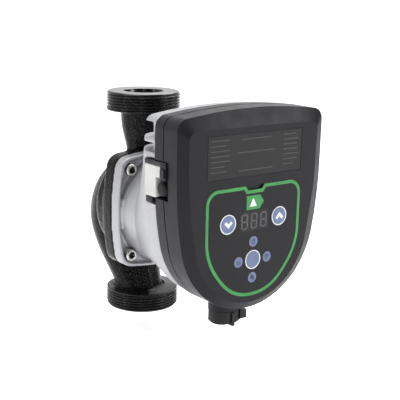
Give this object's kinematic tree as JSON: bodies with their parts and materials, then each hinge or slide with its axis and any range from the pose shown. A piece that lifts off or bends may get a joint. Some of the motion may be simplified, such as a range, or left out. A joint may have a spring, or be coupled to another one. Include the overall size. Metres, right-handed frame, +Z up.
{
  "type": "circulator pump",
  "caption": "Wet-rotor circulator pump with a cast in-line volute between two threaded unions, an aluminium motor body and a shield-shaped control box with keys.",
  "frame": {"origin": "centre of the lower (suction) union gasket face", "axes": "+Z up the pipe axis from the suction union to the discharge union; -Y along the motor axis towards the control panel; +X to the right of the panel seen from the front"},
  "size_m": [0.1349, 0.2017, 0.1821],
  "materials": {
    "cast_black": "rough sand casting under semi-gloss black paint",
    "seal_rubber": "moulded rubber",
    "stainless": "plain stainless steel",
    "ceramic": "ground alumina ceramic",
    "carbon": "carbon thrust face",
    "magnet": "sintered ferrite magnet",
    "impeller_plastic": "glass-filled plastic",
    "core_steel": "stacked lamination steel",
    "copper": "enamelled copper winding",
    "aluminium": "blasted die-cast aluminium",
    "box_black": "fine-grained black plastic",
    "plug_black": "black plastic",
    "ring_green": "green printed plastic inlay",
    "white_print": "white plastic",
    "button_blue": "blue-grey plastic",
    "plate_black": "dark film",
    "digit_grey": "unlit display segments",
    "board_green": "coated circuit board",
    "connector_white": "white nylon",
    "switch_grey": "grey insert",
    "contact_brass": "plain brass"
  },
  "bodies": {
    "pump": {"volute_housing": "cast_black", "flange_o_ring": "seal_rubber", "cover_gasket": "seal_rubber", "blanking_plug": "seal_rubber", "neck_ring": "stainless", "bearing_plate": "stainless", "rotor_can": "stainless", "motor_screws": "stainless", "cover_screws": "stainless", "socket_pins": "stainless", "front_bearing": "ceramic", "rear_bearing": "ceramic", "thrust_seat": "carbon", "stator_insulator": "impeller_plastic", "stator_core": "core_steel", "stator_windings": "copper", "motor_housing": "aluminium", "board_capacitors": "aluminium", "control_rear_shell": "box_black", "control_front_cover": "box_black", "power_socket": "box_black", "signal_shroud": "box_black", "power_module": "box_black", "board_choke": "box_black", "signal_latch": "plug_black", "panel_ring": "ring_green", "energy_tag": "ring_green", "energy_mark": "white_print", "button_bezels": "white_print", "indicator_lenses": "button_blue", "rating_plate": "plate_black", "display_window": "plate_black", "digit_segments": "digit_grey", "digit_module": "digit_grey", "main_board": "board_green", "display_board": "board_green", "signal_connector": "connector_white", "board_connector": "connector_white", "indicator_leds": "connector_white", "tact_switches": "switch_grey", "heat_pad": "switch_grey"},
    "rotor": {"rotor_shaft": "stainless", "rotor_magnets": "magnet", "rotor_sleeve": "stainless", "impeller": "impeller_plastic", "thrust_ring": "ceramic"},
    "down_key": {"down_button": "button_blue", "down_chevron": "white_print"},
    "up_key": {"up_button": "button_blue", "up_chevron": "white_print"},
    "mode_key": {"mode_button": "button_blue"},
    "plug": {"plug_body": "plug_black", "plug_contacts": "contact_brass", "cable_seal": "seal_rubber"}
  },
  "joints": [
    {"name": "rotor_spin", "type": "hinge", "parent": "pump", "child": "rotor", "pos_m": [0, -0.05, 0.09], "axis": [0, -1, 0], "continuous": true},
    {"name": "down_press", "type": "slide", "parent": "pump", "child": "down_key", "axis": [0, 1, 0], "range_m": [0, 0.0005], "stiffness_N_per_m": 600},
    {"name": "up_press", "type": "slide", "parent": "pump", "child": "up_key", "axis": [0, 1, 0], "range_m": [0, 0.0005], "stiffness_N_per_m": 600},
    {"name": "mode_press", "type": "slide", "parent": "pump", "child": "mode_key", "axis": [0, 1, 0], "range_m": [0, 0.0005], "stiffness_N_per_m": 600},
    {"name": "plug_pull", "type": "slide", "parent": "pump", "child": "plug", "axis": [0, 0, -1], "range_m": [0, 0.032]}
  ]
}
